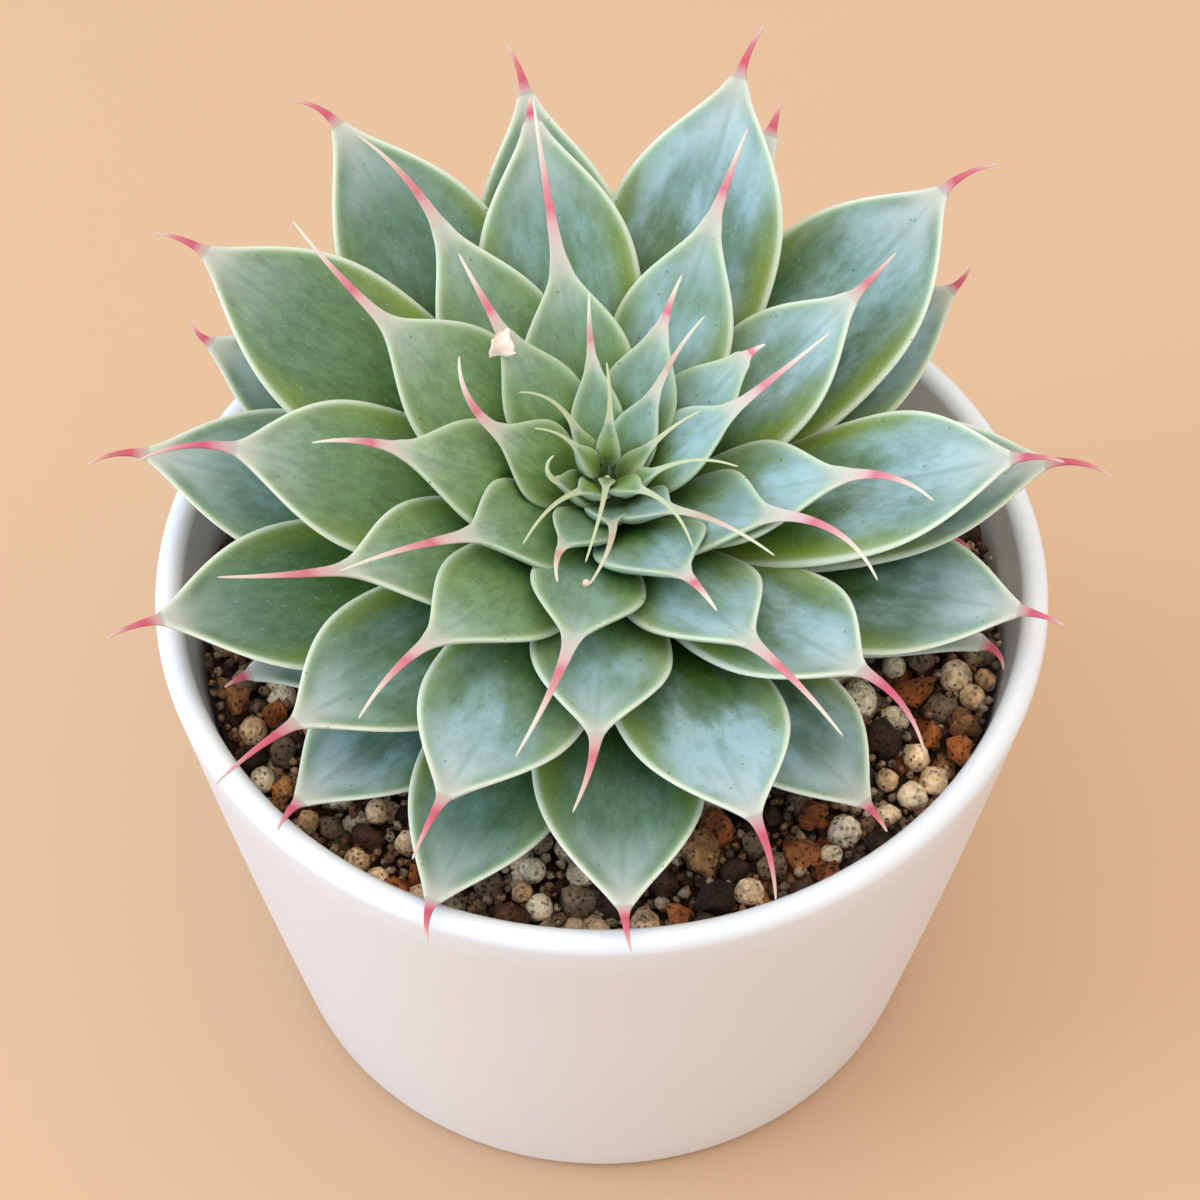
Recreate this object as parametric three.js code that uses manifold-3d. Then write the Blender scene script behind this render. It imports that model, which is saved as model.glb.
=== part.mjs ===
// Potted silver star graptoveria
//
// A rosette of thick, awn-tipped leaves on a short stem, planted in grit in a plain white ceramic pot.
// Millimetres, z up. The origin is the centre of the pot's underside and -y is the front.
import * as THREE from "three";
import { mergeVertices } from "three/addons/utils/BufferGeometryUtils.js";
import Module from "manifold-3d";

const wasm = await Module();
wasm.setup();

// Pot: a tapered cup with a rounded lip and a flat, solid base
const POT_HEIGHT = 61;
const RIM_RADIUS = 45;
const LIP_THICKNESS = 2.8;
const BASE_RADIUS = 35.5;
const BASE_ROUNDING = 2.2;
const FLOOR_THICKNESS = 5;
const FLOOR_RADIUS = 32.5;
const FLOOR_FILLET = 3;
const POT_SIDES = 48;

// Grit bed: fills the pot to a few millimetres under the rim, with pellets standing proud of it
const CLEARANCE = 0.3;
const GRIT_LEVEL = 53.6;
const PELLET_RADIUS = [2.1, 2.9];
const PELLET_TOP_SHARE = 0.55;
const PELLET_SIDES = 5;
const PELLET_SPACING = 5.35;
const PELLET_TRIES = 4200;
const PELLET_TILT = 0.35;
const PELLET_RISE = [0.1, 0.8];
const PELLET_SEED = 11;

// Rosette: everything that grew is laid out about its own axis, which leans towards the front
const ROSETTE_LEAN = 10;
const ROSETTE_FOOT = new THREE.Vector3(0.5, 3.5, 55);
const STEM_RADIUS = 4.2;
const STEM_TOP_RADIUS = 1.6;
const STEM_TOP = 17;
const STEM_DEPTH = 15;
const STEM_SIDES = 14;
const GROWING_POINT_RADIUS = 1.5;
const BUD_TOP = 22;
const BUD_SIDES = 9;

// Leaves: the lowest leaf foot sits at LOWEST_FOOT along the axis and the youngest at HIGHEST_FOOT
const LOWEST_FOOT = 2.8;
const HIGHEST_FOOT = 20;
const OLDEST_FOOT_RADIUS = 4.5;
const YOUNGEST_FOOT_RADIUS = 0.7;
const FOOT_CLOSING = 1.3;
const UPWARD_BEND = 8;
const AWN_DROOP = [8, 34];
const WIDEST_AT = [0.54, 0.6];
const SHOULDER_POWER = [2.2, 2.5];
const HOLLOW_POWER = [1.8, 1.25];
const SWELLING_POWER = 1.2;
const FOOT_WIDTH_SHARE = 0.34;
const BROAD_LEAF = [12.5, 15];
const BACK_HEADING = 95;
const BACK_FULLNESS = 0.5;
const LEAF_THICKNESS = 3.7;
const SLIM_LEAF = [3, 9];
const THICKNESS_SHARE = [0.44, 0.25];
const FOOT_THICKNESS_SHARE = 0.62;
const SWOLLEN_LENGTH = 0.75;
const TIP_THINNING = 0.6;
const THINNING_FROM = 0.45;
const UPPER_FACE_CUP = 0.16;
const SHINGLE_ROLL = 7;
const ROLL_POWER = 0.8;
const AWN_ROOT = [0.5, 1.1];
const AWN_TIP = 0.32;
const AWN_TIP_THICKNESS = 0.62;
const AWN_NARROWING = 0.5;
const AWN_THINNING = 0.7;
const SECTION_SIDES = 6;
const FACET_FILL = 1 / Math.cos(Math.PI / SECTION_SIDES);
const UPPER_SHARE = 0.36;
const BLADE_STATIONS = [0, 0.2, 0.42, 0.62, 0.78, 0.9, 1];
const SMALL_BLADE_STATIONS = [0, 0.35, 0.64, 0.86, 1];
const SMALL_BLADE = 7;
const AWN_STATIONS = [0.4, 1];
const OLD_LEAVES = 28;

// One row a leaf, oldest first: heading (degrees, 90 is the back), blade length, width, rise (degrees),
// awn length and the sideways sweep of the awn (degrees). The last HEART_LEAVES rows are the fused heart.
const HEART_LEAVES = 9;
const LEAVES = [
  [344, 34.5, 10.5, 5, 4, -80],
  [1, 30, 13.5, 7, 3.5, -80],
  [92, 35, 14.5, 9, 4, 0],
  [116, 37, 15, 11, 4, 10],
  [203, 34, 14, 6, 3, 15],
  [154, 41.5, 15, 13, 3, -30],
  [68, 43, 12, 19, 4, 5],
  [35, 40, 15, 16, 3.5, 25],
  [308, 36.5, 15, 13, 4, -15],
  [227, 39.5, 15.5, 12, 4, 25],
  [174, 43, 17, 15, 6.5, 50],
  [343, 39, 16.5, 15, 5, -20],
  [249, 42.5, 15.5, 13, 4.5, 35],
  [199, 43, 17, 17, 6, 20],
  [3, 41, 16.5, 18, 7.5, -50],
  [272, 42, 17, 16, 5, 10],
  [101, 43, 16.5, 24, 6, 20],
  [42, 45, 20, 23, 6.5, -45],
  [127, 46, 18, 27, 5.5, 65],
  [223, 38.5, 16.5, 21, 11, 10],
  [290, 38.5, 16.5, 22, 10.5, -20],
  [72, 44.7, 19.2, 28, 6.1, -20],
  [359, 39, 17, 25, 5.5, -30],
  [153, 45.5, 18, 27, 5.5, 30],
  [317, 32, 15, 25, 13, -40],
  [248, 40, 16, 25, 8.5, 5],
  [102, 38.5, 16.5, 32, 2.5, -15],
  [180, 36, 16.5, 26, 10.5, 40],
  [36, 30.5, 14, 29, 6.5, 10],
  [268, 30, 14, 28, 11, -20],
  [208, 29, 13.5, 31, 13.5, -20],
  [124, 31, 13, 31, 12.5, 25],
  [304, 24.5, 13.5, 31, 17, -5],
  [67, 29, 13, 34, 10, 0],
  [233, 29, 13, 33, 14, 15],
  [149, 27.5, 14, 35, 13.5, -20],
  [354, 23.5, 12.5, 31, 11, -50],
  [103, 23, 11.5, 38, 17, -5],
  [261, 23, 11.5, 36, 19.5, -15],
  [339, 17.5, 11.5, 35, 17, -55],
  [182, 22, 12, 37, 9.5, 20],
  [214, 17, 11.5, 38, 16.5, 0],
  [299, 16.5, 11.5, 40, 8, -5],
  [38, 18.5, 9.5, 36, 2.5, -25],
  [129, 18, 9, 40, 9.5, -10],
  [68, 16.5, 8.5, 43, 6, -5],
  [164, 12.5, 9, 43, 9, -80],
  [20, 15, 8, 42, 12.5, 15],
  [98, 12.5, 5.7, 46, 7, -10],
  [246, 11, 6.6, 41, 7, 35],
  [56, 10.5, 5.6, 50, 9.5, -15],
  [319, 9, 6, 45, 17, -10],
  [275, 6, 5.4, 47, 14.5, -30],
  [201, 6.5, 4.4, 54, 3.6, -190],
  [349, 6, 3.5, 54, 12, -30],
  [32, 5, 3, 38, 6, -10],
  [137, 6.5, 3.3, 60, 8.5, 75],
  [236, 5.5, 3.6, 50, 15.5, 15],
  [311, 5.5, 3.6, 44, 13.5, -30],
  [86, 5, 2.7, 58, 6, 15],
  [172, 5, 3, 62, 6, 30],
  [268, 3, 1.8, 47, 16.5, -12],
];

const degrees = (value) => THREE.MathUtils.degToRad(value);
const mix = THREE.MathUtils.lerp;

// Repeatable random numbers between 0 and 1
function seededRandom(seed) {
  let state = seed;
  return () => {
    state = (state * 1664525 + 1013904223) % 4294967296;
    return state / 4294967296;
  };
}

// A three.js geometry as a solid for cutting and joining
function solidFrom(geometry) {
  const bare = new THREE.BufferGeometry();
  bare.setAttribute("position", geometry.getAttribute("position"));
  if (geometry.index) bare.setIndex(geometry.index);
  const merged = mergeVertices(bare, 1e-4);
  return new wasm.Manifold(
    new wasm.Mesh({
      numProp: 3,
      vertProperties: new Float32Array(merged.attributes.position.array),
      triVerts: new Uint32Array(merged.index.array),
    }),
  );
}

// The largest closed body of a cut solid, its vertices on a fine grid and its collapsed faces dropped
function largestBody(solid) {
  const { vertProperties, triVerts } = solid.getMesh();
  const GRID = 500;
  const ids = new Map();
  const points = [];
  const renamed = [];
  for (let i = 0; i < vertProperties.length; i += 3) {
    const p = [0, 1, 2].map((k) => Math.round(vertProperties[i + k] * GRID) / GRID);
    const key = p.join();
    if (!ids.has(key)) {
      ids.set(key, points.length);
      points.push(p);
    }
    renamed.push(ids.get(key));
  }
  const parent = points.map((_, i) => i);
  const find = (i) => {
    while (parent[i] !== i) i = parent[i] = parent[parent[i]];
    return i;
  };
  const faces = [];
  for (let i = 0; i < triVerts.length; i += 3) {
    const f = [renamed[triVerts[i]], renamed[triVerts[i + 1]], renamed[triVerts[i + 2]]];
    if (f[0] === f[1] || f[1] === f[2] || f[2] === f[0]) continue;
    faces.push(f);
    parent[find(f[0])] = find(f[1]);
    parent[find(f[1])] = find(f[2]);
  }
  const volumes = new Map();
  for (const f of faces) {
    const [a, b, c] = f.map((i) => new THREE.Vector3(...points[i]));
    const body = find(f[0]);
    volumes.set(body, (volumes.get(body) || 0) + a.dot(b.cross(c)) / 6);
  }
  const kept = [...volumes].sort((a, b) => b[1] - a[1])[0][0];
  const used = new Map();
  const positions = [];
  const index = [];
  for (const f of faces) {
    if (find(f[0]) !== kept) continue;
    for (const i of f) {
      if (!used.has(i)) {
        used.set(i, used.size);
        positions.push(...points[i]);
      }
      index.push(used.get(i));
    }
  }
  const geometry = new THREE.BufferGeometry();
  geometry.setAttribute("position", new THREE.Float32BufferAttribute(positions, 3));
  geometry.setIndex(index);
  return geometry;
}

// Turns a point about the rosette's own axis into the part's frame
const lean = new THREE.Matrix4().makeRotationX(degrees(ROSETTE_LEAN));
const rosetteFrame = new THREE.Matrix4().setPosition(ROSETTE_FOOT).multiply(lean);

// How round a leaf's shoulders are: broad leaves are full, those at the back half as full, narrow ones not
function fullness(heading, width) {
  const broad = THREE.MathUtils.clamp((width - BROAD_LEAF[0]) / (BROAD_LEAF[1] - BROAD_LEAF[0]), 0, 1);
  const behind = THREE.MathUtils.clamp(Math.cos(degrees(heading - BACK_HEADING)), 0, 1) ** 4;
  return broad * mix(1, BACK_FULLNESS, behind);
}

// Half the width of a blade, foot to awn: it swells past the middle, then draws in to the awn
function halfWidth(along, width, awnRoot, full) {
  const widest = mix(...WIDEST_AT, full);
  const foot = (width / 2) * FOOT_WIDTH_SHARE;
  const swelling = Math.sin((Math.PI / 2) * Math.min(1, along / widest)) ** SWELLING_POWER;
  if (along < widest) return mix(foot, width / 2, swelling);
  const past = (along - widest) / (1 - widest);
  const drawnIn = (1 - past ** mix(...SHOULDER_POWER, full)) ** mix(...HOLLOW_POWER, full);
  return awnRoot + (width / 2 - awnRoot) * drawnIn;
}

// One leaf as stacked sections along its midrib. swell grows it all round, to cut a gap with.
function leafGeometry(order, swell) {
  const [heading, blade, width, rise, awn, sweep] = LEAVES[order];
  const youth = order / LEAVES.length;
  const full = fullness(heading, width);
  const grown = THREE.MathUtils.clamp((width - SLIM_LEAF[0]) / (SLIM_LEAF[1] - SLIM_LEAF[0]), 0, 1);
  const awnRoot = mix(...AWN_ROOT, grown);
  const thickness = Math.min(LEAF_THICKNESS, mix(...THICKNESS_SHARE, grown) * width);
  const droop = mix(...AWN_DROOP, youth);
  const footRadius = mix(OLDEST_FOOT_RADIUS, YOUNGEST_FOOT_RADIUS, youth ** FOOT_CLOSING);
  const point = new THREE.Vector3(
    footRadius * Math.cos(degrees(heading)),
    footRadius * Math.sin(degrees(heading)),
    mix(LOWEST_FOOT, HIGHEST_FOOT, youth),
  );
  const ray = (turn, tilt) =>
    new THREE.Vector3(
      Math.cos(degrees(tilt)) * Math.cos(degrees(turn)),
      Math.cos(degrees(tilt)) * Math.sin(degrees(turn)),
      Math.sin(degrees(tilt)),
    );
  const bladeStations = width > SMALL_BLADE ? BLADE_STATIONS : SMALL_BLADE_STATIONS;
  const stations = [
    ...bladeStations.map((along) => ({ along, out: 0 })),
    ...AWN_STATIONS.map((out) => ({ along: 1, out })),
  ];
  const positions = [];
  let before = { along: 0, out: 0 };
  stations.forEach((station, number) => {
    const middle = (station.along + before.along) / 2;
    const outward = (station.out + before.out) / 2;
    const turn = heading + sweep * outward;
    const tilt = rise + UPWARD_BEND * (middle - 0.5) - droop * outward;
    const step = blade * (station.along - before.along) + awn * (station.out - before.out);
    point.addScaledVector(ray(turn, tilt), step);
    before = station;
    const inAwn = station.out > 0;
    const tiltHere = inAwn ? tilt : rise + UPWARD_BEND * (station.along - 0.5);
    const forward = ray(turn, tiltHere);
    const roll = inAwn ? 0 : SHINGLE_ROLL * Math.sin(Math.PI * station.along ** ROLL_POWER);
    const right = new THREE.Vector3(Math.sin(degrees(turn)), -Math.cos(degrees(turn)), 0);
    right.applyAxisAngle(forward, -degrees(roll));
    const up = new THREE.Vector3().crossVectors(right, forward);
    const taper = Math.max(0, (station.along - THINNING_FROM) / (1 - THINNING_FROM)) ** 2;
    const swollen = Math.sin(Math.PI * Math.min(1, station.along / SWOLLEN_LENGTH));
    let half = halfWidth(station.along, width, awnRoot, full);
    let deep = thickness * mix(FOOT_THICKNESS_SHARE, 1, swollen);
    deep *= 1 - TIP_THINNING * taper;
    if (inAwn) {
      half = mix(awnRoot, AWN_TIP, station.out ** AWN_NARROWING);
      deep = mix(deep, AWN_TIP_THICKNESS, station.out ** AWN_THINNING);
    }
    const cup = inAwn ? 0 : UPPER_FACE_CUP * half * station.along;
    const centre = point.clone();
    if (swell && number === 0) centre.addScaledVector(forward, -swell);
    if (swell && number === stations.length - 1) centre.addScaledVector(forward, swell);
    for (let k = 0; k < SECTION_SIDES; k++) {
      const around = (2 * Math.PI * k) / SECTION_SIDES;
      const side = Math.cos(around);
      const height = Math.sin(around);
      const share = height > 0 ? UPPER_SHARE : 1 - UPPER_SHARE;
      const lift = (share * deep + swell) * height * FACET_FILL + cup * side * side;
      const corner = centre.clone().addScaledVector(right, (half + swell) * side);
      corner.addScaledVector(up, lift).applyMatrix4(rosetteFrame);
      positions.push(corner.x, corner.y, corner.z);
    }
  });
  return cappedStack(positions, stations.length, SECTION_SIDES);
}

// Joins rings of points into a closed skin with flat ends
function cappedStack(positions, rings, sides) {
  const index = [];
  for (let r = 0; r < rings - 1; r++) {
    for (let k = 0; k < sides; k++) {
      const a = r * sides + k;
      const b = r * sides + ((k + 1) % sides);
      index.push(a, b + sides, b, a, a + sides, b + sides);
    }
  }
  for (let k = 1; k < sides - 1; k++) {
    index.push(0, k, k + 1);
    const last = (rings - 1) * sides;
    index.push(last, last + k + 1, last + k);
  }
  const geometry = new THREE.BufferGeometry();
  geometry.setAttribute("position", new THREE.Float32BufferAttribute(positions, 3));
  geometry.setIndex(index);
  return geometry;
}

// Stem: a peg that goes down into the grit and tapers up through the leaf feet
function stemGeometry(swell) {
  const profile = [
    new THREE.Vector2(0, -STEM_DEPTH - swell),
    new THREE.Vector2(1.6 + swell, -STEM_DEPTH - swell),
    new THREE.Vector2(STEM_RADIUS * 0.8 + swell, -STEM_DEPTH * 0.55),
    new THREE.Vector2(STEM_RADIUS + swell, 0),
    new THREE.Vector2(STEM_RADIUS * 0.92 + swell, STEM_TOP * 0.35),
    new THREE.Vector2(STEM_RADIUS * 0.6 + swell, STEM_TOP * 0.75),
    new THREE.Vector2(STEM_TOP_RADIUS + swell, STEM_TOP + swell),
    new THREE.Vector2(0, STEM_TOP + swell),
  ];
  const lathe = new THREE.LatheGeometry(profile, STEM_SIDES).rotateX(Math.PI / 2);
  return lathe.applyMatrix4(rosetteFrame);
}

// Growing point: the knob under the heart's leaves, and the bud that closes it
function growingPointGeometry(swell) {
  const low = STEM_TOP + 2 * CLEARANCE - swell;
  const profile = [
    new THREE.Vector2(0, low),
    new THREE.Vector2(GROWING_POINT_RADIUS + swell, low),
    new THREE.Vector2(GROWING_POINT_RADIUS * 0.95 + swell, mix(STEM_TOP, BUD_TOP, 0.5)),
    new THREE.Vector2(GROWING_POINT_RADIUS * 0.4 + swell, BUD_TOP - 0.5),
    new THREE.Vector2(0, BUD_TOP + swell),
  ];
  const lathe = new THREE.LatheGeometry(profile, BUD_SIDES).rotateX(Math.PI / 2);
  return lathe.applyMatrix4(rosetteFrame);
}

// Pot wall, lip and floor in one turned profile
function potGeometry() {
  const lipOuter = RIM_RADIUS;
  const lipInner = RIM_RADIUS - LIP_THICKNESS;
  const profile = [new THREE.Vector2(0, 0), new THREE.Vector2(BASE_RADIUS - BASE_ROUNDING, 0)];
  for (const angle of [30, 60, 90]) {
    profile.push(
      new THREE.Vector2(
        BASE_RADIUS - BASE_ROUNDING * (1 - Math.sin(degrees(angle))),
        BASE_ROUNDING * (1 - Math.cos(degrees(angle))),
      ),
    );
  }
  const lipCentre = (lipOuter + lipInner) / 2;
  const lipRound = LIP_THICKNESS / 2;
  for (const angle of [0, 36, 72, 108, 144, 180]) {
    profile.push(
      new THREE.Vector2(
        lipCentre + lipRound * Math.cos(degrees(angle)),
        POT_HEIGHT - lipRound * (1 - Math.sin(degrees(angle))),
      ),
    );
  }
  profile.push(new THREE.Vector2(FLOOR_RADIUS + FLOOR_FILLET / 2, FLOOR_THICKNESS + FLOOR_FILLET));
  profile.push(new THREE.Vector2(FLOOR_RADIUS - FLOOR_FILLET / 2, FLOOR_THICKNESS));
  profile.push(new THREE.Vector2(0, FLOOR_THICKNESS));
  return new THREE.LatheGeometry(profile, POT_SIDES).rotateX(Math.PI / 2);
}

// Radius of the pot's inner wall at a height
function innerWall(z) {
  const top = POT_HEIGHT - LIP_THICKNESS / 2;
  const low = FLOOR_THICKNESS + FLOOR_FILLET;
  return mix(FLOOR_RADIUS + FLOOR_FILLET / 2, RIM_RADIUS - LIP_THICKNESS, (z - low) / (top - low));
}

// Grit: one packed bed with rough pellets sunk into its top, set by rule from a fixed seed
function gritSolid() {
  const facet = Math.cos(Math.PI / POT_SIDES);
  const reach = (z) => innerWall(z) - CLEARANCE / facet;
  const low = FLOOR_THICKNESS + CLEARANCE;
  const shoulder = low + FLOOR_FILLET;
  const profile = [
    new THREE.Vector2(0, low),
    new THREE.Vector2(FLOOR_RADIUS - FLOOR_FILLET / 2 - CLEARANCE, low),
    new THREE.Vector2(reach(shoulder), shoulder),
    new THREE.Vector2(reach(GRIT_LEVEL), GRIT_LEVEL),
    new THREE.Vector2(0, GRIT_LEVEL),
  ];
  const bed = new THREE.LatheGeometry(profile, POT_SIDES).rotateX(Math.PI / 2);
  const random = seededRandom(PELLET_SEED);
  const pellets = [];
  for (let i = 0; i < PELLET_TRIES; i++) {
    const size = mix(PELLET_RADIUS[0], PELLET_RADIUS[1], random());
    const radius = Math.sqrt(random()) * (reach(GRIT_LEVEL) - size - 0.1);
    const turn = random() * 2 * Math.PI;
    const rise = mix(...PELLET_RISE, random());
    const centre = new THREE.Vector3(radius * Math.cos(turn), radius * Math.sin(turn), GRIT_LEVEL + rise);
    const tilt = () => PELLET_TILT * mix(-1, 1, random());
    const spin = new THREE.Euler(tilt(), tilt(), 2 * Math.PI * random());
    const crowded = pellets.some((other) => other.centre.distanceTo(centre) < PELLET_SPACING);
    if (!crowded) pellets.push({ centre, size, spin });
  }
  let solid = solidFrom(bed);
  for (const { centre, size, spin } of pellets) {
    const lump = new THREE.CylinderGeometry(PELLET_TOP_SHARE * size, size, size, PELLET_SIDES);
    lump.rotateX(Math.PI / 2).applyQuaternion(new THREE.Quaternion().setFromEuler(spin));
    solid = solid.add(solidFrom(lump.translate(centre.x, centre.y, centre.z)));
  }
  return solid;
}

// Colours read off the photo
const CERAMIC_WHITE = new THREE.MeshStandardMaterial({ color: 0xf3efec, roughness: 0.38, metalness: 0 });
const GRIT_BROWN = new THREE.MeshStandardMaterial({ color: 0x8a6b50, roughness: 0.95, metalness: 0 });
const LEAF_OLD = new THREE.MeshStandardMaterial({ color: 0x7f9f86, roughness: 0.6, metalness: 0 });
const LEAF_YOUNG = new THREE.MeshStandardMaterial({ color: 0x9dbda4, roughness: 0.6, metalness: 0 });
const STEM_GREEN = new THREE.MeshStandardMaterial({ color: 0x8a9170, roughness: 0.7, metalness: 0 });
const HEART_GREEN = new THREE.MeshStandardMaterial({ color: 0x8fb07f, roughness: 0.6, metalness: 0 });

const plant = new THREE.Group();
plant.name = "potted_silver_star_graptoveria";
function addPiece(name, geometry, material) {
  const mesh = new THREE.Mesh(geometry, material);
  mesh.name = name;
  plant.add(mesh);
}

// Heart: the youngest leaves, too small to part, joined where they grow from the stem's tip
const leafCount = LEAVES.length - HEART_LEAVES;
let heart = solidFrom(growingPointGeometry(0));
let heartRoom = solidFrom(growingPointGeometry(CLEARANCE));
for (let order = leafCount; order < LEAVES.length; order++) {
  heart = heart.add(solidFrom(leafGeometry(order, 0)));
  heartRoom = heartRoom.add(solidFrom(leafGeometry(order, CLEARANCE)));
}
const stemRoom = solidFrom(stemGeometry(CLEARANCE));
heart = heart.subtract(stemRoom);

// Leaves, youngest first: each older leaf gives way to the stem, the heart and the younger leaves over it
const rooms = [stemRoom, heartRoom];
const leaves = [];
for (let order = leafCount - 1; order >= 0; order--) {
  let leaf = solidFrom(leafGeometry(order, 0));
  for (const room of rooms) leaf = leaf.subtract(room);
  rooms.push(solidFrom(leafGeometry(order, CLEARANCE)));
  leaves.unshift(largestBody(leaf));
}

// The bed makes room for the stem and for the lowest leaves, which lie on it
const LEAVES_NEAR_GRIT = 12;
let grit = gritSolid().subtract(stemRoom);
for (const room of rooms.slice(-LEAVES_NEAR_GRIT)) grit = grit.subtract(room);

addPiece("pot", potGeometry(), CERAMIC_WHITE);
addPiece("grit", largestBody(grit), GRIT_BROWN);
addPiece("stem", stemGeometry(0), STEM_GREEN);
addPiece("heart", largestBody(heart), HEART_GREEN);
leaves.forEach((geometry, order) => {
  const name = "leaf_" + String(order + 1).padStart(2, "0");
  addPiece(name, geometry, order < OLD_LEAVES ? LEAF_OLD : LEAF_YOUNG);
});

export default plant;
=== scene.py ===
# %% [markdown]
# # A potted silver star graptoveria
#
# This lesson dresses an imported model of a succulent in its pot. The imported model gives the true sizes and
# places, and each piece here is shaped around it: the turned pot, the grit, the leaves with their
# thread-like awns, and the tight heart of the rosette. Lengths are thought of in millimetres and handed to
# Blender in metres.

# %% Load the imported model
import math
import random

import bmesh
import bpy
from mathutils import Matrix, Vector, noise
from mathutils.bvhtree import BVHTree


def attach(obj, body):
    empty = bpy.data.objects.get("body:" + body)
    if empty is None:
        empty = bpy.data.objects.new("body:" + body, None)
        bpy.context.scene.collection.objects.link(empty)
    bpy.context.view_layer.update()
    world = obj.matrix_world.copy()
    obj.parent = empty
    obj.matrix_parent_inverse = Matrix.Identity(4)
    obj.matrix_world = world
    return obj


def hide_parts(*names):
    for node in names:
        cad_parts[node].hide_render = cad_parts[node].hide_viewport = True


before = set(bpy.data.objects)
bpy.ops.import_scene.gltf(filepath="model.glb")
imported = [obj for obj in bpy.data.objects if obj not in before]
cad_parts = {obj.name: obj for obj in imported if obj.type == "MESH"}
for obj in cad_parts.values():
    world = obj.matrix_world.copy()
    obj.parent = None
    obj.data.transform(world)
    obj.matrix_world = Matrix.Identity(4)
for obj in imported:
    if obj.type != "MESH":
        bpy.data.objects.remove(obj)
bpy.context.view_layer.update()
MM = 0.001

# %% [markdown]
# The camera comes first, because every later choice is judged through it. The plant is seen from the front
# and well above, through a long lens, so the pot tapers only a little. A lens of about 104 mm on a 36 mm
# sensor, 35 cm away and 52.6 degrees above the table, gives that view. The lens isn't shifted: the
# camera itself stands a few millimetres off the pot's axis.

# %% Camera
ELEVATION = math.radians(52.6)
DISTANCE = 350 * MM
sideways = Vector((1, 0, 0))
upwards = Vector((0, math.sin(ELEVATION), math.cos(ELEVATION)))
backwards = Vector((0, -math.cos(ELEVATION), math.sin(ELEVATION)))
rim_centre = Vector((0, 0, 61 * MM))
camera = bpy.data.objects.new("camera", bpy.data.cameras.new("camera"))
camera.data.lens = 104.25
camera.data.sensor_width = 36
camera.data.clip_start = 0.01
camera.location = rim_centre + backwards * DISTANCE - sideways * 0.18 * MM - upwards * 3.3 * MM
camera.rotation_euler = (math.pi / 2 - ELEVATION, 0, 0)
bpy.context.scene.collection.objects.link(camera)
bpy.context.scene.camera = camera
print("camera stands at, mm:", [round(c / MM) for c in camera.location])

# %% [markdown]
# Nodes are placed many times below, so small helpers keep the material cells short. They put a node down
# and fill its sockets, mix two colours, run sums, ease one range into another, read a value that a piece
# carries, and give a surface its relief.

# %% Helpers for materials
def put(tree, kind, sockets=None, **settings):
    made = tree.nodes.new("ShaderNode" + kind)
    for name, value in settings.items():
        setattr(made, name, value)
    for name, value in (sockets or {}).items():
        if isinstance(value, bpy.types.NodeSocket):
            tree.links.new(value, made.inputs[name])
        else:
            made.inputs[name].default_value = value
    return made


def mixed(tree, share, first, second, way="MIX"):
    colours = [c if isinstance(c, bpy.types.NodeSocket) else (*c, 1) for c in (first, second)]
    made = put(tree, "Mix", {0: share, 6: colours[0], 7: colours[1]}, data_type="RGBA", blend_type=way)
    return made.outputs[2]


def sum_of(tree, way, first, second=0.0, clamp=False):
    return put(tree, "Math", {0: first, 1: second}, operation=way, use_clamp=clamp).outputs[0]


def product(tree, first, *others):
    for other in others:
        first = sum_of(tree, "MULTIPLY", first, other)
    return first


def eased(tree, value, low, high, start=0.0, end=1.0):
    sockets = {"Value": value, "From Min": low, "From Max": high, "To Min": start, "To Max": end}
    return put(tree, "MapRange", sockets, interpolation_type="SMOOTHSTEP").outputs["Result"]


def ramp(tree, value, stops):
    made = put(tree, "ValToRGB", {"Fac": value})
    while len(made.color_ramp.elements) < len(stops):
        made.color_ramp.elements.new(1.0)
    for element, (place, colour) in zip(made.color_ramp.elements, stops):
        element.position = place
        element.color = (*colour, 1)
    return made.outputs["Color"]


def speckle(tree, vector, scale, detail=2.0, rough=0.5):
    sockets = {"Vector": vector, "Scale": scale, "Detail": detail, "Roughness": rough}
    return put(tree, "TexNoise", sockets).outputs["Fac"]


def grey_of(tree, value):
    return put(tree, "CombineColor", {0: value, 1: value, 2: value}).outputs[0]


def add_relief(tree, shader, height, strength, distance):
    bump = put(tree, "Bump", {"Height": height, "Strength": strength, "Distance": distance})
    tree.links.new(bump.outputs["Normal"], shader.inputs["Normal"])


def painted(name):
    made = bpy.data.materials.new(name)
    made.use_nodes = True
    return made, made.node_tree, made.node_tree.nodes["Principled BSDF"]


def grown_value(tree, name, output="Fac"):
    return put(tree, "Attribute", attribute_name=name).outputs[output]


print("helpers ready")

# %% [markdown]
# The floor is a plain pale sheet, and the light is soft: a cool window to the left, a broad warm lamp
# overhead, and an even pale sky. A warm floor throws a little of its colour back onto the white pot, as a
# real table does, so it is tinted rather than grey.

# %% Floor and light
scene = bpy.context.scene
scene.view_settings.view_transform = "Standard"
bpy.ops.mesh.primitive_plane_add(size=4)
floor = bpy.context.object
floor.name = "floor"
floor_paint, tree, shader = painted("pale warm floor")
shader.inputs["Base Color"].default_value = (0.66, 0.43, 0.268, 1)
shader.inputs["Roughness"].default_value = 0.9
floor.data.materials.append(floor_paint)

world = bpy.data.worlds.new("even sky")
world.use_nodes = True
world.node_tree.nodes["Background"].inputs["Color"].default_value = (0.90, 0.95, 1.0, 1)
world.node_tree.nodes["Background"].inputs["Strength"].default_value = 0.84
scene.world = world


def lamp(name, place, size, power, colour):
    made = bpy.data.objects.new(name, bpy.data.lights.new(name, "AREA"))
    made.data.size = size
    made.data.energy = power
    made.data.color = colour
    made.location = place
    made.rotation_euler = (rim_centre - Vector(place)).to_track_quat("-Z", "Y").to_euler()
    scene.collection.objects.link(made)


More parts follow.
